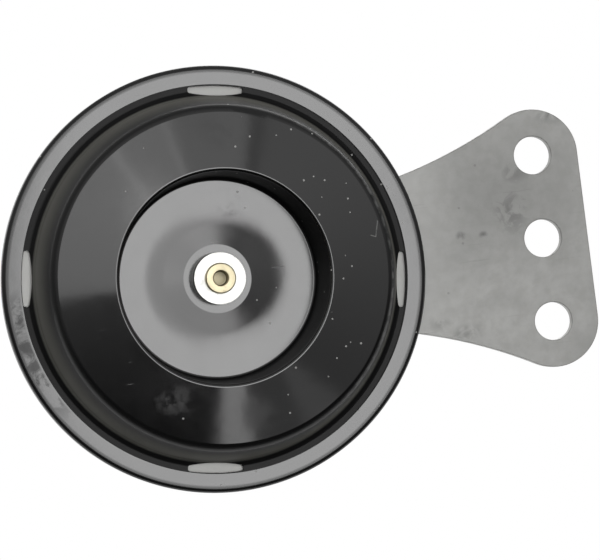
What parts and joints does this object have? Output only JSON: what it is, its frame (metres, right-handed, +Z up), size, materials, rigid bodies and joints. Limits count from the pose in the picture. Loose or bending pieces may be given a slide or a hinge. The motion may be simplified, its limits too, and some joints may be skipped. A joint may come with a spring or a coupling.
{
  "type": "car horn",
  "caption": "Round electric disc horn with a deep-dished enamelled cover, sound slots at its rim and a flat flared steel bracket with fixing holes in a row.",
  "frame": {"origin": "centre of the middle fixing hole of the bracket's head, on the bracket's rear face", "axes": "+Y along the horn's axis from its cover to its rear, so the cover faces -Y; +X from the horn to the bracket's head; +Z up, along the row of fixing holes"},
  "size_m": [0.1327, 0.0563, 0.09],
  "materials": {
    "black_enamel": "gloss black enamel on pressed steel, with dust and light scratches",
    "bracket_steel": "dull grey zinc plating with faint stains",
    "bright_zinc": "bright zinc plating",
    "yellow_zinc": "yellow passivated zinc on turned steel",
    "diaphragm_steel": "plain spring steel",
    "gasket_paper": "oiled gasket paper",
    "bobbin_plastic": "moulded nylon",
    "enamelled_copper": "enamelled copper wire",
    "laminate": "phenolic laminate",
    "spring_bronze": "rolled phosphor bronze",
    "tungsten": "ground tungsten",
    "rivet_brass": "plain brass",
    "tinned_brass": "tinned brass",
    "terminal_plastic": "moulded black phenolic",
    "wire_sleeve": "varnished sleeve"
  },
  "bodies": {
    "root": {"front_cover": "black_enamel", "rim_ring": "black_enamel", "front_gasket": "gasket_paper", "diaphragm": "diaphragm_steel", "rear_gasket": "gasket_paper", "rear_housing": "black_enamel", "centre_washer": "bright_zinc", "armature": "yellow_zinc", "distance_sleeve": "bright_zinc", "front_stiffener": "bright_zinc", "rear_stiffener": "bright_zinc", "pole_core": "yellow_zinc", "bobbin": "bobbin_plastic", "coil_winding": "enamelled_copper", "yoke_plate": "bright_zinc", "lower_contact_insulator": "laminate", "moving_contact_arm": "spring_bronze", "middle_contact_insulator": "laminate", "fixed_contact_arm": "spring_bronze", "upper_contact_insulator": "laminate", "moving_contact_point": "tungsten", "fixed_contact_point": "tungsten", "contact_rivets": "rivet_brass", "adjusting_screw": "bright_zinc", "screw_tip_insulator": "bobbin_plastic", "adjusting_locknut": "bright_zinc", "terminal_insulator_outer": "terminal_plastic", "terminal_insulator_inner": "laminate", "terminal_blade_upper": "tinned_brass", "terminal_blade_lower": "tinned_brass", "terminal_rivets": "rivet_brass", "lead_wires": "wire_sleeve", "mounting_bracket": "bracket_steel", "spring_washer": "bright_zinc", "mounting_nut": "bright_zinc"}
  },
  "joints": []
}
